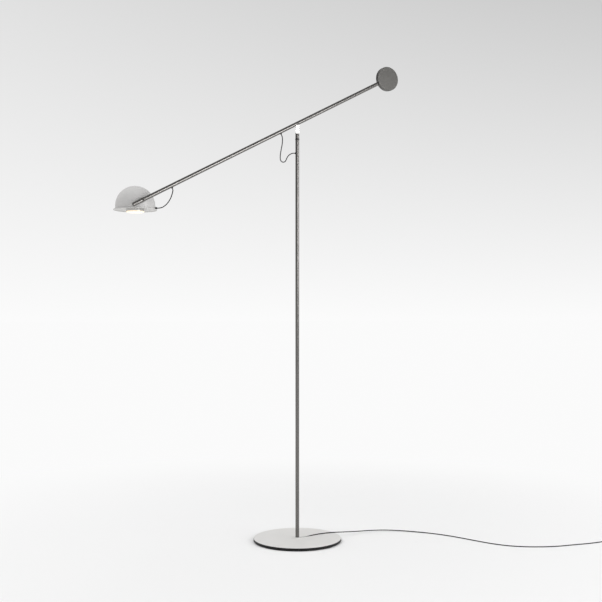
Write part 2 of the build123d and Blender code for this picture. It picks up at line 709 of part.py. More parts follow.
with BuildPart() as diffuser:
    with BuildSketch(Plane(origin=(HEAD_X, HEAD_Y, DRUM_BOTTOM))):
        Circle(DIFFUSER_RADIUS)
    extrude(amount=LIP_BOTTOM + 1 - DRUM_BOTTOM)
    fillet(diffuser.faces().sort_by(Axis.Z)[0].edges(), 1.8)
    with BuildSketch(Plane(origin=(HEAD_X, HEAD_Y, LIP_BOTTOM))):
        Circle(DIFFUSER_RADIUS + 3)
    extrude(amount=1)
    with BuildSketch(Plane(origin=(HEAD_X, HEAD_Y, DRUM_BOTTOM + 1.6))):
        Circle(DIFFUSER_RADIUS - 1.6)
    extrude(amount=20, mode=Mode.SUBTRACT)
write(diffuser, "diffuser")

BOARD_RADIUS = 24.0
BOARD_THICKNESS = 1.6
CHIP_SIZE = 3.0
CHIP_HEIGHT = 0.8
board_bottom = sink_bottom - BOARD_THICKNESS

with BuildPart() as led_board:
    with BuildSketch(Plane(origin=(HEAD_X, HEAD_Y, board_bottom))):
        Circle(BOARD_RADIUS)
    extrude(amount=BOARD_THICKNESS)
write(led_board, "led_board")

with BuildPart() as led_chips:
    with BuildSketch(Plane(origin=(HEAD_X, HEAD_Y, board_bottom - CHIP_HEIGHT))):
        Rectangle(CHIP_SIZE, CHIP_SIZE)
        with PolarLocations(9, 6):
            Rectangle(CHIP_SIZE, CHIP_SIZE)
        with PolarLocations(18, 12):
            Rectangle(CHIP_SIZE, CHIP_SIZE)
    extrude(amount=CHIP_HEIGHT)
write(led_chips, "led_chips")

SINK_RADIUS = 38.5
SINK_BASE = 3.5
FIN_HEIGHT = 10.0
FIN_COUNT = 11
FIN_PITCH = 6.6
FIN_THICKNESS = 1.8

with BuildPart() as heat_sink:
    with BuildSketch(Plane(origin=(HEAD_X, HEAD_Y, sink_bottom))):
        Circle(SINK_RADIUS)
    extrude(amount=SINK_BASE)
    with BuildSketch(Plane(origin=(HEAD_X, HEAD_Y, sink_bottom + SINK_BASE))):
        with GridLocations(FIN_PITCH, 0, FIN_COUNT, 1):
            Rectangle(FIN_THICKNESS, 2 * SINK_RADIUS)
        Circle(SINK_RADIUS - 1, mode=Mode.INTERSECT)
    extrude(amount=FIN_HEIGHT)
    with BuildSketch(Plane(origin=(HEAD_X, HEAD_Y, sink_bottom))):
        with head_screws:
            Circle(LEG_RADIUS)
    extrude(amount=dish_top(BOSS_RADIUS - LEG_RADIUS) + 0.05 - sink_bottom)
    with BuildSketch(Plane(origin=(HEAD_X, HEAD_Y, RIM_HEIGHT))):
        with head_screws:
            Circle(SCREW_RADIUS)
    extrude(amount=sink_bottom + 2.5 - RIM_HEIGHT, mode=Mode.SUBTRACT)
write(heat_sink, "heat_sink")

SCREW_SEAT = dish_top(BOSS_RADIUS + 2.8) - DISH_SHEET - 0.1
with BuildPart() as sink_screws:
    with BuildSketch(Plane(origin=(HEAD_X, HEAD_Y, SCREW_SEAT))):
        with head_screws:
            Circle(2.8)
    extrude(amount=-1.5)
    fillet(sink_screws.faces().group_by(Axis.Z)[0].edges(), 0.6)
    with BuildSketch(Plane(origin=(HEAD_X, HEAD_Y, SCREW_SEAT - 1.5))):
        with head_screws:
            RegularPolygon(1.2, 6)
    extrude(amount=1.0, mode=Mode.SUBTRACT)
    with BuildSketch(Plane(origin=(HEAD_X, HEAD_Y, SCREW_SEAT))):
        with head_screws:
            Circle(SCREW_RADIUS)
    extrude(amount=sink_bottom + 2.4 - SCREW_SEAT)
write(sink_screws, "sink_screws")

with BuildPart() as head_gland:
    with BuildSketch(gland_plane(DOME_RADIUS - 3)):
        Circle(GROMMET_FLANGE)
    extrude(amount=GLAND_FACE - DOME_RADIUS + 3)
    with BuildSketch(Plane(origin=(HEAD_X, HEAD_Y, RIM_HEIGHT))):
        Circle(DOME_RADIUS)
    extrude(amount=12, mode=Mode.SUBTRACT)
    with BuildSketch(gland_plane(DOME_RADIUS - 3)):
        Circle(GROMMET_BODY)
    extrude(amount=5)
    with BuildSketch(gland_plane(DOME_RADIUS - 3)):
        Circle(LEAD_RADIUS)
    extrude(amount=12, mode=Mode.SUBTRACT)
write(head_gland, "head_gland")

TERMINAL_FACE = 49.0
with BuildPart() as terminal_block:
    with BuildSketch(gland_plane(TERMINAL_FACE)):
        with Locations((2.1, 0)):
            Rectangle(5.6, 10)
    extrude(amount=-7.5)
write(terminal_block, "terminal_block")

# --- Leads ---------------------------------------------------------------------------------

pole_points = [foot_exit, Vector(0, 0, foot_exit.Z), Vector(0, 0, POLE_HOLE_HEIGHT), pole_exit]
tube(pole_points, [HIDDEN_BEND] * 2, "pole_lead")

arm_points = [
    arm_exits[0],
    arm_point(ARM_HOLES[0]),
    arm_point(ARM_HOLES[1]),
    arm_exits[1],
]
tube(arm_points, [HIDDEN_BEND] * 2, "arm_lead")
tube([gland_exit, gland_plane(TERMINAL_FACE).origin], [], "head_inner_lead")

loop_radii = corner_radii(loop_route)
loop_middle = (loop_route[LOOP_SPLIT - 1] + loop_route[LOOP_SPLIT]) / 2
lower_loop = loop_route[:LOOP_SPLIT] + [loop_middle]
upper_loop = [loop_middle] + loop_route[LOOP_SPLIT:]
tube(lower_loop, loop_radii[: LOOP_SPLIT - 1], "loop_lead_lower")
tube(upper_loop, loop_radii[LOOP_SPLIT - 1:], "loop_lead_upper")
tube(head_route, corner_radii(head_route), "head_lead")
tube(supply_route, corner_radii(supply_route), "supply_lead")

with BuildPart() as lead_coil:
    with BuildSketch(Plane.XZ.offset(-COIL_Y)):
        with Locations((COIL_X + COIL_RADIUS, COIL_HEIGHT / 2)):
            RectangleRounded(COIL_BUNDLE, COIL_HEIGHT, 1.4)
    revolve(axis=Axis((COIL_X, COIL_Y, 0), (0, 0, 1)))
write(lead_coil, "lead_coil")

ADAPTOR_LENGTH = 62.0
ADAPTOR_WIDTH = 36.0
ADAPTOR_HEIGHT = 26.0
RELIEF_LENGTH = 20.0
RELIEF_ROOT = 4.0
RELIEF_TIP = 2.4
ADAPTOR_X = COIL_X + 70.0
ADAPTOR_Y = COIL_Y + COIL_RADIUS + 6.0
RELIEF_HEIGHT = 7.0

plug_route = [
    Vector(COIL_X + coil_side, COIL_Y + COIL_RADIUS, 4.6),
    Vector(COIL_X + 24, COIL_Y + COIL_RADIUS + 1.0, 4.4),
    Vector(COIL_X + 36, COIL_Y + COIL_RADIUS + 4.2, 5.4),
    Vector(ADAPTOR_X - RELIEF_LENGTH, ADAPTOR_Y, RELIEF_HEIGHT),
]
tube(plug_route, corner_radii(plug_route), "plug_lead")

with BuildPart() as adaptor_body:
    with BuildSketch(Plane.XY):
        with Locations((ADAPTOR_X + ADAPTOR_LENGTH / 2, ADAPTOR_Y)):
            RectangleRounded(ADAPTOR_LENGTH, ADAPTOR_WIDTH, 5)
    extrude(amount=ADAPTOR_HEIGHT)
    fillet(adaptor_body.faces().filter_by(Axis.Z).edges(), 2)
write(adaptor_body, "adaptor_body")

relief_root = Plane(origin=(ADAPTOR_X, ADAPTOR_Y, RELIEF_HEIGHT), z_dir=(-1, 0, 0))
with BuildPart() as adaptor_relief:
    with BuildSketch(relief_root):
        Circle(RELIEF_ROOT)
    with BuildSketch(relief_root.offset(RELIEF_LENGTH)):
        Circle(RELIEF_TIP)
    loft()
write(adaptor_relief, "adaptor_relief")

PIN_SPACING = 19.0
PLUG_PIN_LENGTH = 19.0
PLUG_PIN_RADIUS = 2.0
pin_face = Plane(
    origin=(ADAPTOR_X + ADAPTOR_LENGTH, ADAPTOR_Y, ADAPTOR_HEIGHT / 2),
    x_dir=(0, 1, 0),
    z_dir=(1, 0, 0),
)
with BuildPart() as adaptor_pins:
    with BuildSketch(pin_face):
        with GridLocations(PIN_SPACING, 0, 2, 1):
            Circle(PLUG_PIN_RADIUS)
    extrude(amount=PLUG_PIN_LENGTH)
    fillet(adaptor_pins.faces().group_by(Axis.X)[-1].edges(), 1.2)
write(adaptor_pins, "adaptor_pins")
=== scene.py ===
import math

import bmesh
import bpy
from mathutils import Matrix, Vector


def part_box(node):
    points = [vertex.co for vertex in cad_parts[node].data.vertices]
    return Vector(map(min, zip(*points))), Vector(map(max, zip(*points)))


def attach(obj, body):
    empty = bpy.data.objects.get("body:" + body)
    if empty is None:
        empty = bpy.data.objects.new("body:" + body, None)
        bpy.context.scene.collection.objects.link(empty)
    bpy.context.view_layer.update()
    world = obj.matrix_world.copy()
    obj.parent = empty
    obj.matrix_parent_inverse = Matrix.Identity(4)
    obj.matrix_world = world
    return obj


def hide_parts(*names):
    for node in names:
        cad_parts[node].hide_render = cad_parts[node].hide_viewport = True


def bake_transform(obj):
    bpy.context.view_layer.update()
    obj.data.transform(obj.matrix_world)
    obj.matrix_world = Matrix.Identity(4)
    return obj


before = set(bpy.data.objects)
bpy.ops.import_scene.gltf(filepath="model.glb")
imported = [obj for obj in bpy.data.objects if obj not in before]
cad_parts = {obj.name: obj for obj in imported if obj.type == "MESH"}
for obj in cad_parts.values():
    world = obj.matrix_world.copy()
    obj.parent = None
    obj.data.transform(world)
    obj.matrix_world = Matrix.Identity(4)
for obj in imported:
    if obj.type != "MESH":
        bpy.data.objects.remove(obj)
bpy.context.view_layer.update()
MM = 0.001

# --- Camera ------------------------------------------------------------------------------

VIEW_X, VIEW_Y = 0.4571, 0.8894  # the way the camera looks, seen from above

camera = bpy.data.objects.new("camera", bpy.data.cameras.new("camera"))
bpy.context.scene.collection.objects.link(camera)
camera.location = (-1.3813, -2.7137, 0.728)
camera.rotation_euler = (math.radians(90), 0, -math.atan2(VIEW_X, VIEW_Y))
camera.data.lens = 56.81
camera.data.sensor_width = 36
camera.data.shift_y = 0.0208
camera.data.clip_end = 200
bpy.context.scene.camera = camera

# --- Places and the leads' routes, as in the CAD source --------------------------------------

LEAD_DIAMETER = 3.0 * MM
PIVOT = Vector((0, 0, 1.337))
ARM_TILT = math.radians(28)
ARM_ALONG = Vector((math.cos(ARM_TILT), 0, math.sin(ARM_TILT)))
ARM_DOWN = Vector((math.sin(ARM_TILT), 0, -math.cos(ARM_TILT)))
HEAD_X, HEAD_Y = -0.513, 0.073
GLAND_SIDE = Vector((0.889, -0.457, 0)).normalized()
GLAND = Vector((HEAD_X, HEAD_Y, 1.0469))
ARM_HOLES = (-0.069, -0.481)
GROMMET_FACE = 7.6 * MM
GLAND_FACE = 66.0 * MM
POLE_HOLE = Vector((0, 0, 1.241))
DOME_CENTRE = Vector((HEAD_X, HEAD_Y, 1.054))
DISC_CENTRE = PIVOT + ARM_ALONG * 0.384
COIL_X, COIL_Y = 0.912, -0.478
COIL_RADIUS = 16.2 * MM
ADAPTOR_X, ADAPTOR_Y = COIL_X + 0.070, COIL_Y + 0.022
RELIEF_LENGTH = 20.0 * MM
RELIEF_HEIGHT = 7.0 * MM


def arm_point(along, down=0.0):
    """A place that far along the arm from its pivot, and that far under its middle line."""
    return PIVOT + ARM_ALONG * along + ARM_DOWN * down


def metres(*points):
    """Points given in millimetres, as in the CAD source."""
    return [Vector(p) * MM for p in points]


def coil_turns():
    """Five turns, three on the floor and two in the grooves between them."""
    turn_steps = 16
    first_angle = math.radians(84)
    crossing = 0.6  # the share of a turn after which the lead moves over to the next one
    turns = [(19.2, 1.8), (16.2, 1.7), (13.2, 1.8), (14.6, 4.4), (17.6, 4.6), (16.4, 5.2)]
    points = []
    for (radius, height), (next_radius, next_height) in zip(turns, turns[1:]):
        for step in range(turn_steps):
            share = max(0.0, (step / turn_steps - crossing) / (1 - crossing))
            share = share * share * (3 - 2 * share)
            angle = first_angle - 2 * math.pi * step / turn_steps
            # A spline's points stand a little outside the circle that it draws.
            reach = (radius + (next_radius - radius) * share) / math.cos(math.pi / turn_steps)
            points.append((
                COIL_X / MM + reach * math.cos(angle),
                COIL_Y / MM + reach * math.sin(angle),
                height + (next_height - height) * share,
            ))
    return metres(*points)


floor_route = (
    metres(
        (12.0, 0.0, 8.4),
        (26.0, 0.0, 8.4),
        (40.0, 0.1, 10.0),
        (55.0, 0.4, 11.9),
        (84.0, 6.0, 12.1),
        (124.0, 6.6, 12.0),
        (166.0, -2.0, 10.6),
        (214.0, -5.5, 8.4),
        (267.0, -6.0, 6.2),
        (322.0, -16.0, 4.2),
        (371.0, -48.0, 2.9),
        (423.0, -98.0, 1.7),
        (458.0, -150.0, 1.5),
        (483.0, -206.0, 1.5),
        (503.0, -263.0, 1.5),
        (524.0, -319.0, 1.5),
        (553.0, -368.0, 1.5),
        (594.0, -403.0, 1.5),
        (640.0, -427.0, 1.5),
        (690.0, -444.0, 1.5),
        (742.0, -450.0, 1.5),
        (797.0, -460.0, 1.5),
        (852.0, -463.0, 1.6),
        (900.0, -459.2, 1.8),
    )
    + coil_turns()
    + metres((926.0, -461.4, 4.8), (936.0, -461.0, 4.4), (948.0, -457.8, 5.4))
    + [
        Vector((ADAPTOR_X - RELIEF_LENGTH, ADAPTOR_Y, RELIEF_HEIGHT)),
        Vector((ADAPTOR_X, ADAPTOR_Y, RELIEF_HEIGHT)),
        Vector((ADAPTOR_X + 0.030, ADAPTOR_Y, RELIEF_HEIGHT)),
    ]
)

lower_loop_route = metres(
    (-7.6, 0, 1241.0),
    (-15.6, 0, 1241.0),
    (-24.0, 0, 1237.6),
    (-31.8, 0, 1231.8),
    (-37.0, 0, 1224.4),
    (-40.5, 0, 1215.4),
    (-46.4, 0, 1209.5),
    (-50.5, 0, 1209.5),
)
upper_loop_route = metres(
    (-50.5, 0, 1209.5),
    (-54.6, 0, 1209.5),
    (-60.5, 0, 1215.4),
    (-61.0, 0, 1227.0),
    (-59.2, 0, 1240.0),
    (-56.6, 0, 1253.0),
    (-53.8, 0, 1266.0),
    (-52.6, 0, 1279.0),
) + [
    arm_point(ARM_HOLES[0], GROMMET_FACE + 8.5 * MM),
    arm_point(ARM_HOLES[0], GROMMET_FACE),
]
head_route = [
    arm_point(ARM_HOLES[1], GROMMET_FACE),
    arm_point(ARM_HOLES[1], GROMMET_FACE + 5.5 * MM),
] + metres(
    (-419.6, 2.5, 1091.0),
    (-421.2, 7.0, 1081.0),
    (-423.8, 13.5, 1071.0),
    (-428.2, 22.0, 1061.2),
    (-434.6, 31.2, 1053.0),
) + [GLAND + GLAND_SIDE * (GLAND_FACE + 11.0 * MM), GLAND + GLAND_SIDE * GLAND_FACE]


def lead_line(name, route):
    """A smooth spline that follows a route."""
    line = bpy.data.curves.new(name, "CURVE")
    line.dimensions = "3D"
    spline = line.splines.new("NURBS")
    spline.points.add(len(route) - 1)
    for point, place in zip(spline.points, route):
        point.co = (*place, 1)
    spline.order_u = 3
    spline.use_endpoint_u = True
    spline.resolution_u = 8
    lead = bpy.data.objects.new(name, line)
    bpy.context.scene.collection.objects.link(lead)
    return lead


def points_on(line):
    """The points of a smooth line, and its length."""
    mesh = bpy.data.meshes.new_from_object(line)
    places = [v.co.copy() for v in mesh.vertices]
    bpy.data.meshes.remove(mesh)
    length = sum((after - before).length for before, after in zip(places, places[1:]))
    return places, length


def round_lead(name, route, sides=12):
    """A lead as a closed mesh tube, its hoops carried along the smooth line without twist.

    Returns the lead, the points of its smooth line and its length.
    """
    guide = lead_line(name + "_line", route)
    places, length = points_on(guide)
    bpy.data.objects.remove(guide)
    shell = bmesh.new()
    hoops = []
    ahead = (places[1] - places[0]).normalized()
    side = ahead.orthogonal().normalized()
    for index, place in enumerate(places):
        before = places[max(index - 1, 0)]
        after = places[min(index + 1, len(places) - 1)]
        heading = (after - before).normalized()
        side = ahead.rotation_difference(heading) @ side
        ahead = heading
        across = ahead.cross(side)
        hoop = []
        for step in range(sides):
            angle = 2 * math.pi * step / sides
            outwards = side * math.cos(angle) + across * math.sin(angle)
            hoop.append(shell.verts.new(place + outwards * LEAD_DIAMETER / 2))
        hoops.append(hoop)
    for near, far in zip(hoops, hoops[1:]):
        for step in range(sides):
            beside = (step + 1) % sides
            shell.faces.new((near[step], near[beside], far[beside], far[step]))
    shell.faces.new(hoops[0])
    shell.faces.new(hoops[-1])
    for edge in shell.edges:  # smooth along the sheath, sharp round its two ends
        edge.smooth = all(len(face.verts) == 4 for face in edge.link_faces)
    bmesh.ops.recalc_face_normals(shell, faces=shell.faces)
    mesh = bpy.data.meshes.new(name)
    shell.to_mesh(mesh)
    shell.free()
    for polygon in mesh.polygons:
        polygon.use_smooth = len(polygon.vertices) == 4
    lead = bpy.data.objects.new(name, mesh)
    bpy.context.scene.collection.objects.link(lead)
    return lead, places, length


floor_lead, floor_places, floor_length = round_lead("floor_lead", floor_route)
lower_loop, lower_places, lower_length = round_lead("lower_loop", lower_loop_route)
upper_loop, upper_places, upper_length = round_lead("upper_loop", upper_loop_route)
head_lead, head_places, head_length = round_lead("head_lead_tube", head_route)
leads = (floor_lead, lower_loop, upper_loop, head_lead)

# --- Ways of working -----------------------------------------------------------------------


def linear(code):
    """An sRGB hex colour as the linear colour that a shader takes."""
    parts = [int(code[place:place + 2], 16) / 255 for place in (1, 3, 5)]
    return (*[p / 12.92 if p <= 0.04045 else ((p + 0.055) / 1.055) ** 2.4 for p in parts], 1)


def connect(owner, node, feeds):
    """Gives a node's inputs their values, or links them to other nodes' outputs."""
    for name, value in feeds.items():
        if isinstance(value, bpy.types.NodeSocket):
            owner.node_tree.links.new(value, node.inputs[name])
        else:
            node.inputs[name].default_value = value


def add_node(owner, kind, feeds=None, **settings):
    """Adds one node with its settings, and what feeds its inputs."""
    node = owner.node_tree.nodes.new("ShaderNode" + kind)
    for name, value in settings.items():
        setattr(node, name, value)
    connect(owner, node, feeds or {})
    return node


def new_finish(name, colour, values):
    """A material with its base colour and the shader's own constants."""
    finish = bpy.data.materials.new(name)
    finish.use_nodes = True
    shader = finish.node_tree.nodes["Principled BSDF"]
    connect(finish, shader, {"Base Color": linear(colour), **values})
    return finish, shader


def grain(finish, cell, stretch=(1, 1, 1), centre=(0, 0, 0), turn=0.0, detail=3.0):
    """Noise with cells of that many millimetres, drawn out by stretch, on axes turned about Y."""
    place = add_node(finish, "TexCoord").outputs["Object"]
    turned_place = add_node(
        finish, "Mapping",
        {"Vector": place, "Rotation": (0, turn, 0), "Location": [-x for x in centre]},
    )
    drawn = add_node(
        finish, "Mapping",
        {"Vector": turned_place.outputs["Vector"],
         "Scale": [1 / (cell * MM * share) for share in stretch]},
    )
    return add_node(
        finish, "TexNoise",
        {"Vector": drawn.outputs["Vector"], "Scale": 1.0, "Detail": detail, "Roughness": 0.55},
    ).outputs["Fac"]


def between(finish, share, low, high, start=0.35, end=0.65):
    """A number that goes from low to high as share goes from start to end."""
    return add_node(
        finish, "MapRange",
        {"Value": share, "From Min": start, "From Max": end, "To Min": low, "To Max": high},
    ).outputs["Result"]


def two_tone(finish, share, first, second):
    """A colour between two hex colours."""
    ramp = add_node(finish, "ValToRGB", {"Fac": share})
    ramp.color_ramp.elements[0].position = 0.3
    ramp.color_ramp.elements[1].position = 0.7
    ramp.color_ramp.elements[0].color = linear(first)
    ramp.color_ramp.elements[1].color = linear(second)
    return ramp.outputs["Color"]


def relief(finish, height, depth, strength=1.0):
    """A bump of that depth in millimetres."""
    return add_node(
        finish, "Bump", {"Height": height, "Distance": depth * MM, "Strength": strength}
    ).outputs["Normal"]


def rings(finish, centre, axis, pitch):
    """Turning lines around an axis through centre, that many millimetres apart."""
    place = add_node(finish, "TexCoord").outputs["Object"]
    moved = add_node(finish, "Mapping", {"Vector": place, "Location": [-x for x in centre]})
    return add_node(
        finish, "TexWave",
        {"Vector": moved.outputs["Vector"], "Scale": 1 / (pitch * MM) / 20 * 2 * math.pi,
         "Distortion": 0.0, "Detail": 0.0},
        wave_type="RINGS", rings_direction=axis,
    ).outputs["Fac"]


# --- Finishes ------------------------------------------------------------------------------


def satin_black_nickel(name, turn):
    # Steel tube plated in black nickel and satin brushed along its length: a smoky grey mirror
    # that draws out long soft highlights. The brush lines are really 0.05 mm apart, and drawn
    # at 0.8 mm, as anything finer is lost in the render.
    finish, shader = new_finish(name, "#737170", {"Metallic": 1.0, "Roughness": 0.26})
    lines = grain(finish, 0.8, (1, 1, 90), turn=turn)
    clouds = grain(finish, 45, (1, 1, 2), turn=turn)
    connect(finish, shader, {
        "Base Color": two_tone(finish, clouds, "#706e6c", "#777573"),
        "Roughness": between(finish, lines, 0.24, 0.28),
        "Normal": relief(finish, lines, 0.0006),
    })
    return finish


def silver_lacquer_on_spun_aluminium():
    # Spun aluminium with a sprayed silver-grey lacquer: an even, milky sheen with fine flake, and
    # the faintest trace of the spinning lines.
    finish, shader = new_finish(
        "silver_lacquer_on_spun_aluminium", "#bfbebd",
        {"Metallic": 0.1, "Roughness": 0.55, "IOR": 1.5},
    )
    flake = grain(finish, 0.9, centre=DOME_CENTRE)
    lines = rings(finish, DOME_CENTRE, "Z", 3.0)
    connect(finish, shader, {
        "Base Color": two_tone(finish, flake, "#bdbcbb", "#c1c0bf"),
        "Roughness": between(finish, grain(finish, 18, centre=DOME_CENTRE), 0.5, 0.6),
        "Normal": relief(finish, lines, 0.006),
    })
    return finish


def satin_anodised_reflector():
    # Spun aluminium dish, etched and anodised: a pale satin metal that carries the lamp's warm
    # glow close to the drum and stays grey further out, with faint rings from the spinning.
    finish, shader = new_finish(
        "satin_anodised_aluminium_reflector", "#cdccca", {"Metallic": 1.0, "Roughness": 0.5}
    )
    lines = rings(finish, DOME_CENTRE, "Z", 1.5)
    connect(finish, shader, {
        "Roughness": between(finish, grain(finish, 9, centre=DOME_CENTRE), 0.46, 0.54),
        "Normal": relief(finish, lines, 0.006),
    })
    return finish


def glowing_opal_acrylic():
    # Opal acrylic, moulded, lit from inside: a warm, nearly even glow that falls off towards its
    # wall.
    finish, shader = new_finish(
        "glowing_opal_acrylic", "#cfc6ba",
        {"Roughness": 0.35, "IOR": 1.49, "Emission Strength": 0.8},
    )
    reach = 0.034  # the fall-off's radius, a little past the drum's wall
    place = add_node(finish, "TexCoord").outputs["Object"]
    moved = add_node(
        finish, "Mapping",
        {"Vector": place, "Location": [-HEAD_X / reach, -HEAD_Y / reach, 0],
         "Scale": (1 / reach, 1 / reach, 0)},
    )
    fall = add_node(finish, "TexGradient", {"Vector": moved.outputs["Vector"]},
                    gradient_type="SPHERICAL").outputs["Fac"]
    connect(finish, shader, {
        "Emission Color": two_tone(finish, fall, "#ffe2b8", "#fff1da"),
        "Normal": relief(finish, grain(finish, 0.8, centre=DOME_CENTRE), 0.008),
    })
    return finish


def turned_gunmetal_disc():
    # Solid steel disc, turned on a lathe and blackened: fine rings that catch the light in a slow
    # fan. The tool marks are really 0.2 mm apart, and drawn at 1.6 mm to show at all.
    finish, shader = new_finish(
        "turned_gunmetal_disc", "#5c5b59", {"Metallic": 1.0, "Roughness": 0.38}
    )
    lines = rings(finish, DISC_CENTRE, "Y", 1.6)
    clouds = grain(finish, 30, centre=DISC_CENTRE)
    connect(finish, shader, {
        "Base Color": two_tone(finish, clouds, "#5a5957", "#5d5c5a"),
        "Roughness": between(finish, lines, 0.35, 0.39, 0.0, 1.0),
        "Normal": relief(finish, lines, 0.0015),
    })
    return finish


def polished_aluminium_blade():
    # Aluminium plate, polished with its grain upright: nearly a white mirror.
    finish, shader = new_finish(
        "polished_aluminium_blade", "#ecebe9", {"Metallic": 1.0, "Roughness": 0.16}
    )
    lines = grain(finish, 0.4, (1, 1, 40))
    connect(finish, shader, {
        "Roughness": between(finish, lines, 0.12, 0.2),
        "Normal": relief(finish, lines, 0.002),
    })
    return finish


def phosphated_screw_steel():
    # Hardened steel screws, phosphated and oiled: a dark, dull grey that keeps out of the arm's
    # shine.
    finish, shader = new_finish(
        "phosphated_screw_steel", "#4b4a49", {"Metallic": 1.0, "Roughness": 0.5}
    )
    crystals = grain(finish, 0.6)
    connect(finish, shader, {
        "Base Color": two_tone(finish, crystals, "#464544", "#504f4e"),
        "Roughness": between(finish, crystals, 0.46, 0.56),
    })
    return finish


def machined_steel(name, centre, axis):
    # Bright steel bar, turned: tight rings and a hard, cool shine.
    finish, shader = new_finish(name, "#a9a8a6", {"Metallic": 1.0, "Roughness": 0.25})
    lines = rings(finish, centre, axis, 0.3)
    connect(finish, shader, {
        "Roughness": between(finish, grain(finish, 3, centre=centre), 0.2, 0.3),
        "Normal": relief(finish, lines, 0.003),
    })
    return finish


def zinc_plated_steel():
    # Zinc-plated steel: a pale, slightly blue, cloudy metal.
    finish, shader = new_finish(
        "zinc_plated_steel", "#bfc2c4", {"Metallic": 1.0, "Roughness": 0.35}
    )
    clouds = grain(finish, 2.5)
    connect(finish, shader, {
        "Base Color": two_tone(finish, clouds, "#b4b8bb", "#c8c9c8"),
        "Roughness": between(finish, clouds, 0.28, 0.42),
    })
    return finish


def black_powder_coat():
    # Mild steel in black powder coat: a deep matt black whose fine orange peel softens each
    # highlight.
    finish, shader = new_finish(
        "black_powder_coat_on_steel", "#101011",
        {"Roughness": 0.55, "IOR": 1.5, "Specular IOR Level": 0.3},
    )
    peel = grain(finish, 1.4)
    connect(finish, shader, {
        "Base Color": two_tone(finish, grain(finish, 30), "#0e0e0f", "#131314"),
        "Roughness": between(finish, peel, 0.44, 0.56),
        "Normal": relief(finish, peel, 0.03),
    })
    return finish


def pale_powder_coat():
    # Steel sheet in a pale grey fine-texture powder coat: even and matt, with faint clouds from
    # use.
    finish, shader = new_finish(
        "pale_powder_coat_on_steel_sheet", "#d3d2d0", {"Roughness": 0.48, "IOR": 1.5}
    )
    peel = grain(finish, 1.1)
    clouds = grain(finish, 38)
    connect(finish, shader, {
        "Base Color": two_tone(finish, clouds, "#d1d0ce", "#d6d5d3"),
        "Roughness": between(finish, clouds, 0.42, 0.54),
        "Normal": relief(finish, peel, 0.02),
    })
    return finish


def moulded_black_rubber():
    # Moulded EPDM rubber: a dead black with a dusty bloom and a fine pitted skin.
    finish, shader = new_finish(
        "moulded_black_rubber", "#1e1e1e", {"Roughness": 0.72, "IOR": 1.52}
    )
    pits = grain(finish, 0.9)
    connect(finish, shader, {
        "Base Color": two_tone(finish, grain(finish, 6), "#1a1a1a", "#242424"),
        "Roughness": between(finish, pits, 0.66, 0.8),
        "Normal": relief(finish, pits, 0.03),
    })
    return finish


def black_acetal():
    # Turned acetal: a waxy black with a low, smooth gloss.
    finish, shader = new_finish("turned_black_acetal", "#161617", {"Roughness": 0.36, "IOR": 1.48})
    connect(finish, shader, {
        "Roughness": between(finish, grain(finish, 1.5), 0.32, 0.42),
        "Normal": relief(finish, grain(finish, 0.5), 0.003),
    })
    return finish


def black_pvc_lead():
    # Extruded black PVC sheath: a soft satin, slightly wavy where it has been wound.
    finish, shader = new_finish(
        "extruded_black_pvc", "#121213",
        {"Roughness": 0.5, "IOR": 1.53, "Specular IOR Level": 0.25},
    )
    ripple = grain(finish, 2.2)
    connect(finish, shader, {
        "Base Color": two_tone(finish, grain(finish, 14), "#101011", "#161617"),
        "Roughness": between(finish, ripple, 0.42, 0.52),
        "Normal": relief(finish, ripple, 0.006),
    })
    return finish


def spark_textured_polycarbonate():
    # Black polycarbonate, moulded in a spark-eroded tool: a matt, evenly grained shell.
    finish, shader = new_finish(
        "spark_textured_black_polycarbonate", "#1b1b1c", {"Roughness": 0.52, "IOR": 1.58}
    )
    pits = grain(finish, 0.7)
    connect(finish, shader, {
        "Roughness": between(finish, pits, 0.46, 0.6),
        "Normal": relief(finish, pits, 0.04),
    })
    return finish


def nickel_plated_brass():
    # Drawn brass pins with a thin nickel plate: a warm, bright metal.
    finish, shader = new_finish(
        "nickel_plated_brass", "#c9c0ab", {"Metallic": 1.0, "Roughness": 0.22}
    )
    connect(finish, shader, {"Roughness": between(finish, grain(finish, 1.2), 0.18, 0.28)})
    return finish


def raw_extruded_aluminium():
    # Extruded aluminium, left raw: dull and slightly streaked along its fins.
    finish, shader = new_finish(
        "raw_extruded_aluminium", "#b9b9b8", {"Metallic": 1.0, "Roughness": 0.45}
    )
    streaks = grain(finish, 0.8, (1, 30, 1))
    connect(finish, shader, {
        "Roughness": between(finish, streaks, 0.38, 0.52),
        "Normal": relief(finish, streaks, 0.01),
    })
    return finish


def white_solder_mask():
    # Aluminium-backed board under a white solder mask: flat and slightly glossy.
    finish, shader = new_finish("white_solder_mask", "#eceae4", {"Roughness": 0.4, "IOR": 1.5})
    connect(finish, shader, {"Roughness": between(finish, grain(finish, 2), 0.35, 0.45)})
    return finish


def phosphor_silicone():
    # Yellow phosphor in silicone over each chip: soft and slightly grainy.
    finish, shader = new_finish("phosphor_silicone", "#e8c34a", {"Roughness": 0.5, "IOR": 1.42})
    connect(finish, shader, {
        "Base Color": two_tone(finish, grain(finish, 0.4), "#e2b93c", "#efcf5c"),
    })
    return finish


def grey_nylon():
    # Moulded grey nylon: pale, matt and a little waxy.
    finish, shader = new_finish("moulded_grey_nylon", "#c4c3bd", {"Roughness": 0.5, "IOR": 1.53})
    connect(finish, shader, {"Roughness": between(finish, grain(finish, 1), 0.44, 0.58)})
    return finish


def vulcanised_fibre():
    # Punched vulcanised fibre: reddish brown with a short, matted grain.
    finish, shader = new_finish("vulcanised_fibre", "#5a3a28", {"Roughness": 0.7, "IOR": 1.47})
    fibres = grain(finish, 0.5, (1, 1, 3))
    connect(finish, shader, {
        "Base Color": two_tone(finish, fibres, "#4e3020", "#664532"),
        "Normal": relief(finish, fibres, 0.02),
    })
    return finish


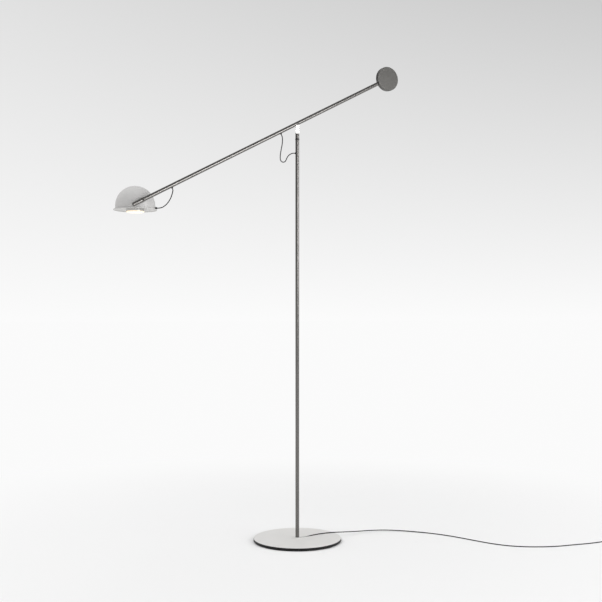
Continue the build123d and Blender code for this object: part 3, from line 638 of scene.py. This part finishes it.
pole_nickel = satin_black_nickel("satin_black_nickel_on_pole", 0.0)
arm_nickel = satin_black_nickel("satin_black_nickel_on_arm", ARM_TILT - math.radians(90))
shade_lacquer = silver_lacquer_on_spun_aluminium()
dish_aluminium = satin_anodised_reflector()
opal = glowing_opal_acrylic()
disc_steel = turned_gunmetal_disc()
blade_aluminium = polished_aluminium_blade()
screw_steel = phosphated_screw_steel()
pin_steel = machined_steel("machined_steel_pins", PIVOT, "Y")
spindle_steel = machined_steel("machined_steel_spindle", (0, 0, 1.28), "Z")
zinc = zinc_plated_steel()
black_coat = black_powder_coat()
pale_coat = pale_powder_coat()
rubber = moulded_black_rubber()
acetal = black_acetal()
sheath = black_pvc_lead()
polycarbonate = spark_textured_polycarbonate()
pin_brass = nickel_plated_brass()
raw_aluminium = raw_extruded_aluminium()
solder_mask = white_solder_mask()
phosphor = phosphor_silicone()
nylon = grey_nylon()
fibre = vulcanised_fibre()

CAD_FINISHES = {
    "base_pad": rubber,
    "base_plate": black_coat,
    "base_cover": pale_coat,
    "foot_nipple": zinc,
    "foot_washer": zinc,
    "foot_nut": zinc,
    "foot_flange": pale_coat,
    "pole_tube": pole_nickel,
    "pole_grommet": rubber,
    "pole_lead": sheath,
    "swivel_socket": pole_nickel,
    "swivel_stop_screw": black_coat,
    "swivel_washer": acetal,
    "swivel_spindle": spindle_steel,
    "swivel_collar": pole_nickel,
    "neck_plate": blade_aluminium,
    "arm_tube": arm_nickel,
    "arm_tip_cap": arm_nickel,
    "arm_grommets": rubber,
    "arm_lead": sheath,
    "pivot_block": pin_steel,
    "friction_washers": fibre,
    "tilt_screw": screw_steel,
    "tilt_nut": screw_steel,
    "saddle_washer": acetal,
    "head_screw": screw_steel,
    "counterweight_stud": arm_nickel,
    "counterweight_disc": disc_steel,
    "counterweight_lock_screw": black_coat,
    "head_friction_washer": acetal,
    "head_hub": arm_nickel,
    "hub_backing_washer": zinc,
    "hub_nut": zinc,
    "dome_shade": shade_lacquer,
    "brim_dish": dish_aluminium,
    "diffuser": opal,
    "led_board": solder_mask,
    "led_chips": phosphor,
    "heat_sink": raw_aluminium,
    "sink_screws": zinc,
    "head_gland": rubber,
    "head_inner_lead": sheath,
    "terminal_block": nylon,
    "supply_lead": sheath,
    "lead_coil": sheath,
    "plug_lead": sheath,
    "loop_lead_lower": sheath,
    "loop_lead_upper": sheath,
    "head_lead": sheath,
    "adaptor_body": polycarbonate,
    "adaptor_relief": rubber,
    "adaptor_pins": pin_brass,
}
for name, finish in CAD_FINISHES.items():
    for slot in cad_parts[name].material_slots:
        slot.material = finish
for lead in leads:
    lead.data.materials.append(sheath)

# --- Modelled pieces -----------------------------------------------------------------------

SMOOTH_ANGLE = math.radians(35)

# Sizes inside the pieces' functions are in millimetres, as in the CAD source.


def select_only(piece):
    bpy.ops.object.select_all(action="DESELECT")
    bpy.context.view_layer.objects.active = piece
    piece.select_set(True)


def open_piece(piece, picking):
    """Edit mode on this piece alone, for picking its VERT, EDGE or FACE, with nothing picked."""
    select_only(piece)
    bpy.ops.object.mode_set(mode="EDIT")
    bpy.ops.mesh.select_mode(type=picking)
    bpy.ops.mesh.select_all(action="DESELECT")


def pick(piece, parts, wanted):
    """Picks those of the piece's verts, edges or faces for which wanted is true."""
    bpy.ops.mesh.select_all(action="DESELECT")
    shape = bmesh.from_edit_mesh(piece.data)
    for part in getattr(shape, parts):
        if wanted(part):
            part.select_set(True)
    shape.select_flush_mode()
    bmesh.update_edit_mesh(piece.data)


def middle(edge):
    return (edge.verts[0].co + edge.verts[1].co) / 2


def settled(name):
    """The primitive just added, named, with its place and size put into its mesh."""
    piece = bpy.context.object
    piece.name = name
    bpy.ops.object.transform_apply(location=True, rotation=True, scale=True)
    return piece


def boxed(name, node):
    """A block over a CAD node's box."""
    low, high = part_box(node)
    bpy.ops.object.select_all(action="DESELECT")
    bpy.ops.mesh.primitive_cube_add(size=1, location=(low + high) / 2, scale=high - low)
    return settled(name)


def joined(pieces):
    """Several pieces made into one."""
    select_only(pieces[0])
    for piece in pieces:
        piece.select_set(True)
    bpy.ops.object.join()
    return pieces[0]


def close_piece():
    """Back to object mode, the piece's place put into its mesh, its normals outwards."""
    bpy.ops.mesh.select_all(action="SELECT")
    bpy.ops.mesh.normals_make_consistent(inside=False)
    bpy.ops.object.mode_set(mode="OBJECT")
    bpy.ops.object.transform_apply(location=True, rotation=True, scale=True)
    bpy.ops.object.shade_smooth_by_angle(angle=SMOOTH_ANGLE)


def thicken(piece, thickness):
    """Gives an open sheet its thickness in millimetres, inwards."""
    sheet = piece.modifiers.new("sheet", "SOLIDIFY")
    sheet.thickness = thickness * MM
    sheet.offset = -1
    bpy.ops.object.modifier_apply(modifier=sheet.name)


def soften(piece, width, segments=2, angle=40):
    """Breaks the piece's sharp edges with a small round, its width in millimetres."""
    select_only(piece)
    bevel = piece.modifiers.new("soft_edges", "BEVEL")
    bevel.width = width * MM
    bevel.segments = segments
    bevel.limit_method = "ANGLE"
    bevel.angle_limit = math.radians(angle)
    bpy.ops.object.modifier_apply(modifier=bevel.name)
    bpy.ops.object.shade_smooth_by_angle(angle=SMOOTH_ANGLE)


def turned(name, centre, axis, profile, segments=64):
    """A piece turned on a lathe: a ring drawn out through (radius, distance) pairs in mm."""
    bpy.ops.object.select_all(action="DESELECT")
    radius, reach = profile[0]
    bpy.ops.mesh.primitive_circle_add(
        vertices=segments, radius=radius * MM, location=(0, 0, reach * MM)
    )
    piece = settled(name)
    bpy.ops.object.mode_set(mode="EDIT")
    bpy.ops.mesh.select_mode(type="EDGE")
    bpy.ops.mesh.select_all(action="SELECT")
    for (radius, reach), (wider, further) in zip(profile, profile[1:]):
        bpy.ops.mesh.extrude_edges_move(
            TRANSFORM_OT_translate={"value": (0, 0, (further - reach) * MM)}
        )
        bpy.ops.transform.resize(
            value=(wider / radius, wider / radius, 1), center_override=(0, 0, further * MM)
        )
    bpy.ops.mesh.select_all(action="SELECT")
    bpy.ops.mesh.remove_doubles(threshold=0.01 * MM)
    bpy.ops.mesh.fill_holes(sides=0)
    bpy.ops.mesh.select_all(action="SELECT")
    bpy.ops.mesh.normals_make_consistent(inside=False)
    bpy.ops.object.mode_set(mode="OBJECT")
    piece.rotation_mode = "QUATERNION"
    piece.rotation_quaternion = Vector((0, 0, 1)).rotation_difference(Vector(axis))
    piece.location = centre
    bpy.ops.object.transform_apply(location=True, rotation=True, scale=True)
    bpy.ops.object.shade_smooth_by_angle(angle=SMOOTH_ANGLE)
    return piece


def give(piece, body, nodes, slot_name, *finishes):
    """The piece's body, the CAD nodes it stands for and its finishes; its slot name is not used.
    """
    for finish in finishes:
        piece.data.materials.append(finish)
    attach(piece, body)
    if nodes:
        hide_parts(*nodes)
    return piece


def spun_dome():
    """A half ball drawn down into a short straight skirt, one sheet thick, its rim rounded."""
    radius, skirt, sheet = 60, 10.5, 1.0
    bpy.ops.object.select_all(action="DESELECT")
    bpy.ops.mesh.primitive_uv_sphere_add(
        segments=96, ring_count=48, radius=radius * MM, location=DOME_CENTRE
    )
    dome = settled("spun_dome")
    open_piece(dome, "VERT")
    pick(dome, "verts", lambda v: v.co.z < DOME_CENTRE.z - 1 * MM)
    bpy.ops.mesh.delete(type="VERT")
    bpy.ops.mesh.select_mode(type="EDGE")
    pick(dome, "edges", lambda e: e.is_boundary)
    bpy.ops.mesh.extrude_edges_move(TRANSFORM_OT_translate={"value": (0, 0, -skirt * MM)})
    close_piece()
    thicken(dome, sheet)
    soften(dome, 0.3, 3)
    return give(dome, "head", ["dome_shade"], "painted_shade", shade_lacquer)


def dished_brim():
    """The dish that closes the dome, with its turned-down lip and a pressed step at the drum."""
    lip, lip_inside, lip_foot, hole = 65.5, 64.3, 1040.5, 27.0
    over_the_top = [
        (lip, lip_foot), (lip, 1043.1), (60.2, 1043.5), (58.6, 1043.5), (46.0, 1045.25),
        (30.0, 1047.5), (hole, 1047.9),
    ]
    back_underneath = [
        (hole, 1046.7), (30.0, 1046.25), (32.0, 1045.3), (46.0, 1043.4), (58.6, 1042.2),
        (lip_inside, 1041.7), (lip_inside, lip_foot), (lip, lip_foot),
    ]
    brim = turned(
        "dished_brim", (HEAD_X, HEAD_Y, 0), (0, 0, 1), over_the_top + back_underneath, segments=96
    )
    soften(brim, 0.35, 3, angle=30)
    give(brim, "head", ["brim_dish"], "white_reflector", dish_aluminium, shade_lacquer)
    # Only the underside is bare aluminium: the lacquer covers the top and the lip's outside.
    for face in brim.data.polygons:
        outwards = (face.center.xy - DOME_CENTRE.xy).normalized()
        face.material_index = int(face.normal.z > 0.3 or face.normal.xy.dot(outwards) > 0.5)


def opal_drum():
    """The diffuser: an opal cup whose wall is silvered, but for a clear band above its floor."""
    middle_hole, wall, bore, flange = 0.5, 26.5, 24.9, 29.5
    foot, floor_top, band_top, top = 1034.0, 1035.6, 1037.4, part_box("diffuser")[1].z / MM
    drum = turned(
        "opal_drum", (HEAD_X, HEAD_Y, 0), (0, 0, 1),
        [(middle_hole, foot), (24.6, foot), (25.6, 1034.25), (26.25, 1034.85), (wall, 1035.8),
         (wall, band_top), (wall, top - 1.0), (flange, top - 1.0), (flange, top), (bore, top),
         (bore, floor_top), (middle_hole, floor_top)],
        segments=96,
    )
    give(drum, "head", ["diffuser"], "opal_acrylic", opal, dish_aluminium)
    for face in drum.data.polygons:
        face.material_index = int(face.center.z > band_top * MM)


def neck_blade():
    """The upright plate between collar and arm, its top fully round and its edges broken."""
    low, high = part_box("neck_plate")
    blade = boxed("neck_blade", "neck_plate")
    open_piece(blade, "EDGE")
    pick(blade, "edges", lambda e: abs(middle(e).z - high.z) < 1e-6 and abs(middle(e).x) > 1 * MM)
    bpy.ops.mesh.bevel(offset=(high - low).x / 2 - 0.05 * MM, segments=14, affect="EDGES")
    close_piece()
    soften(blade, 0.3, 3, angle=60)
    return give(blade, "swivel", ["neck_plate"], "bright_aluminium", blade_aluminium)


def adaptor_shell():
    """The wall adaptor: two moulded halves, a groove between them and a sunk panel on top."""
    groove_foot, groove_top = 12.7, 13.3
    shell = boxed("adaptor_shell", "adaptor_body")
    open_piece(shell, "EDGE")
    pick(shell, "edges", lambda e: abs(e.verts[0].co.z - e.verts[1].co.z) > 1 * MM)
    bpy.ops.mesh.bevel(offset=5 * MM, segments=6, affect="EDGES")
    for height in (groove_foot, groove_top):
        bpy.ops.mesh.select_all(action="SELECT")
        bpy.ops.mesh.bisect(plane_co=(0, 0, height * MM), plane_no=(0, 0, 1))
    bpy.ops.mesh.select_mode(type="FACE")
    pick(shell, "faces", lambda f: groove_foot < f.calc_center_median().z / MM < groove_top
         and abs(f.normal.z) < 0.5)
    bpy.ops.mesh.extrude_region_shrink_fatten(TRANSFORM_OT_shrink_fatten={"value": -0.5 * MM})
    for facing in (1, -1):
        pick(shell, "faces", lambda f: f.normal.z * facing > 0.9 and f.calc_area() > 0.001)
        bpy.ops.mesh.inset(thickness=2.0 * MM, depth=0)
        if facing > 0:
            bpy.ops.mesh.inset(thickness=1.2 * MM, depth=0)
            bpy.ops.mesh.inset(thickness=0.25 * MM, depth=-0.4 * MM)
    close_piece()
    soften(shell, 0.15, 2, angle=50)
    return give(shell, "stand", ["adaptor_body"], "black_plastic", polycarbonate)


def ribbed_relief():
    """The sleeve that keeps the lead from kinking at the adaptor, tapered and cut into ribs."""
    bore, root, taper, length = 1.75, 4.0, 1.6, RELIEF_LENGTH / MM
    ribs, rib_pitch, first_rib = 6, 2.6, 18.4
    profile = [(bore, length), (2.3, length), (2.4, 19.6)]
    for rib in range(ribs):
        start = first_rib - rib * rib_pitch
        wide = root - taper * start / length
        profile += [(wide + 0.02, start), (wide - 0.65, start - 0.25), (wide - 0.6, start - 1.0),
                    (wide + 0.15, start - 1.25)]
    profile += [(root, 1.0), (root, -0.5), (bore, -0.5)]
    sleeve = turned(
        "ribbed_relief", (ADAPTOR_X, ADAPTOR_Y, RELIEF_HEIGHT), (-1, 0, 0), profile, segments=40
    )
    soften(sleeve, 0.12, 2, angle=30)
    return give(sleeve, "stand", ["adaptor_relief"], "black_rubber", rubber)


def plug_pins():
    """Two round pins with moulded sleeves at their roots and rounded bare tips."""
    low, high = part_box("adaptor_pins")
    pin_spacing, sleeve_length = 19.0, 10.1
    made = []
    for side in (-pin_spacing / 2, pin_spacing / 2):
        root = (low.x, ADAPTOR_Y + side * MM, (low.z + high.z) / 2)
        pin = turned(
            "plug_pins", root, (1, 0, 0),
            [(1.85, -1.0), (1.85, 10.0), (1.65, 10.05), (1.65, 10.25), (2.0, 10.3), (2.0, 17.6),
             (1.86, 18.3), (1.5, 18.8), (1.0, 19.0), (0.3, 19.0)],
            segments=32,
        )
        pin.data.materials.append(pin_brass)
        pin.data.materials.append(polycarbonate)
        for face in pin.data.polygons:
            face.material_index = int(face.center.x < low.x + sleeve_length * MM)
        made.append(pin)
    return give(joined(made), "stand", ["adaptor_pins"], "brass_pin")


def rounded_grommets():
    """The rubber grommets where the lead leaves the pole, the arm and the shade."""
    collar = [(1.5, 7.6), (2.5, 7.6), (2.9, 7.5), (3.15, 7.2), (3.2, 6.8), (3.2, 5.2), (2.5, 5.0),
              (2.5, 4.4), (1.5, 4.4), (1.5, 7.6)]
    pole_one = turned("pole_lead_grommet", POLE_HOLE, (-1, 0, 0), collar, segments=40)
    give(pole_one, "stand", ["pole_grommet"], "black_rubber", rubber)
    pair = [
        turned("arm_lead_grommets", arm_point(along), ARM_DOWN, collar, segments=40)
        for along in ARM_HOLES
    ]
    give(joined(pair), "arm", ["arm_grommets"], "black_rubber", rubber)
    gland = turned(
        "shade_lead_gland", GLAND, GLAND_SIDE,
        [(1.5, 66.0), (2.4, 66.0), (2.8, 65.8), (3.1, 65.4), (3.2, 64.8), (3.2, 59.6), (2.5, 59.4),
         (2.5, 57.0), (1.5, 57.0), (1.5, 66.0)],
        segments=40,
    )
    give(gland, "head", ["head_gland"], "black_rubber", rubber)


def coil_strap():
    """A soft strap round the coil's turns, on the side away from the adaptor's lead."""
    half_height, half_depth, wide = 3.4, 5.6, 8.0
    bpy.ops.object.select_all(action="DESELECT")
    bpy.ops.mesh.primitive_circle_add(
        vertices=40, radius=1, rotation=(0, math.radians(90), 0),
        location=(COIL_X - wide / 2 * MM, COIL_Y - COIL_RADIUS, half_height * MM),
    )
    strap = bpy.context.object
    strap.name = "coil_strap"
    strap.scale = (half_height * MM, half_depth * MM, 1)
    bpy.ops.object.transform_apply(location=True, rotation=True, scale=True)
    open_piece(strap, "EDGE")
    bpy.ops.mesh.select_all(action="SELECT")
    bpy.ops.mesh.extrude_edges_move(TRANSFORM_OT_translate={"value": (wide * MM, 0, 0)})
    close_piece()
    thicken(strap, 0.5)
    soften(strap, 0.12, 2)
    return give(strap, "stand", [], "black_rubber", rubber)


spun_dome()
dished_brim()
opal_drum()
neck_blade()
rounded_grommets()
shell = adaptor_shell()
sleeve = ribbed_relief()
pins = plug_pins()
strap = coil_strap()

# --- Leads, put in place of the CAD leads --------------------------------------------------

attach(floor_lead, "stand")
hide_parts("supply_lead", "lead_coil", "plug_lead")
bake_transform(lower_loop)
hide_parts("loop_lead_lower")
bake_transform(upper_loop)
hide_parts("loop_lead_upper")
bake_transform(head_lead)
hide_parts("head_lead")

# --- Studio --------------------------------------------------------------------------------

bpy.context.scene.view_settings.view_transform = "Standard"
BACKDROP_LEVEL = 0.96  # at the horizon, and on the far floor


def studio_floor():
    """A wide pale floor that takes the lamp's shade near it, and further out melts away."""
    melting_start, melting_end = 0.35, 1.8
    bpy.ops.object.select_all(action="DESELECT")
    bpy.ops.mesh.primitive_plane_add(size=160)
    ground = bpy.context.object
    ground.name = "studio_floor"
    paint = bpy.data.materials.new("matt_white_floor_paint")
    paint.use_nodes = True
    shader = paint.node_tree.nodes["Principled BSDF"]
    connect(paint, shader, {"Base Color": (0.8, 0.8, 0.8, 1), "Roughness": 0.9})
    place = add_node(paint, "TexCoord").outputs["Object"]
    away = add_node(paint, "VectorMath", {0: place}, operation="LENGTH").outputs["Value"]
    share = add_node(
        paint, "MapRange", {"Value": away, "From Min": melting_start, "From Max": melting_end},
        interpolation_type="SMOOTHSTEP",
    ).outputs["Result"]
    glow = add_node(
        paint, "Emission", {"Color": (BACKDROP_LEVEL, BACKDROP_LEVEL, BACKDROP_LEVEL, 1)}
    ).outputs["Emission"]
    mixed = add_node(
        paint, "MixShader", {"Fac": share, 1: shader.outputs["BSDF"], 2: glow}
    ).outputs["Shader"]
    connect(paint, paint.node_tree.nodes["Material Output"], {"Surface": mixed})
    ground.data.materials.append(paint)


def studio_backdrop():
    """A pale backdrop, darker upwards and towards the right, that lights the lamp less than it
    shows: surfaces and reflections each get a level of their own.
    """
    fall_upwards, fall_aside = 0.93, 0.85
    surfaces_get, reflections_get = 0.75, 0.42
    world = bpy.data.worlds.new("studio_backdrop")
    bpy.context.scene.world = world
    world.use_nodes = True
    way = add_node(world, "TexCoord").outputs["Generated"]
    height = add_node(world, "VectorMath", {0: way, 1: (0, 0, 1)}, operation="DOT_PRODUCT")
    aside = add_node(
        world, "VectorMath", {0: way, 1: (VIEW_Y, -VIEW_X, 0)}, operation="DOT_PRODUCT"
    )
    fall = add_node(
        world, "Math", {0: aside.outputs["Value"], 1: fall_aside, 2: fall_upwards},
        operation="MULTIPLY_ADD",
    )
    lost = add_node(
        world, "Math", {0: height.outputs["Value"], 1: fall.outputs["Value"]}, operation="MULTIPLY"
    )
    shown = add_node(
        world, "Math", {0: BACKDROP_LEVEL, 1: lost.outputs["Value"]},
        operation="SUBTRACT", use_clamp=True,
    )
    path = add_node(world, "LightPath")
    given = add_node(
        world, "MapRange",
        {"Value": path.outputs["Is Glossy Ray"], "To Min": surfaces_get,
         "To Max": reflections_get},
    )
    level = add_node(
        world, "MapRange",
        {"Value": path.outputs["Is Camera Ray"], "To Min": given.outputs["Result"],
         "To Max": shown.outputs["Value"]},
    )
    connect(world, world.node_tree.nodes["Background"], {"Color": level.outputs["Result"]})


def soft_light(name, place, aim, size, power, in_reflections, on_surfaces=True):
    """A rectangular soft box that points at aim, seen in reflections, on surfaces or both."""
    box = bpy.data.objects.new(name, bpy.data.lights.new(name, "AREA"))
    bpy.context.scene.collection.objects.link(box)
    box.data.shape = "RECTANGLE"
    box.data.size, box.data.size_y = size
    box.data.energy = power
    box.location = place
    box.rotation_euler = (Vector(aim) - Vector(place)).to_track_quat("-Z", "Y").to_euler()
    box.visible_glossy = in_reflections
    box.visible_diffuse = on_surfaces
    box.visible_camera = False


studio_floor()
studio_backdrop()
soft_light("key_soft_box", (-1.3, 1.1, 3.4), (0.1, -0.1, 0.2), (2.6, 2.6), 50, False)
soft_light("right_fill", (2.4, -3.0, 1.4), (-0.3, 0, 0.9), (2.4, 2.4), 75, False)
soft_light("strip_soft_box", (1.15, -2.9, 1.4), (0.0, 0.0, 1.35), (1.7, 1.1), 50, True, False)
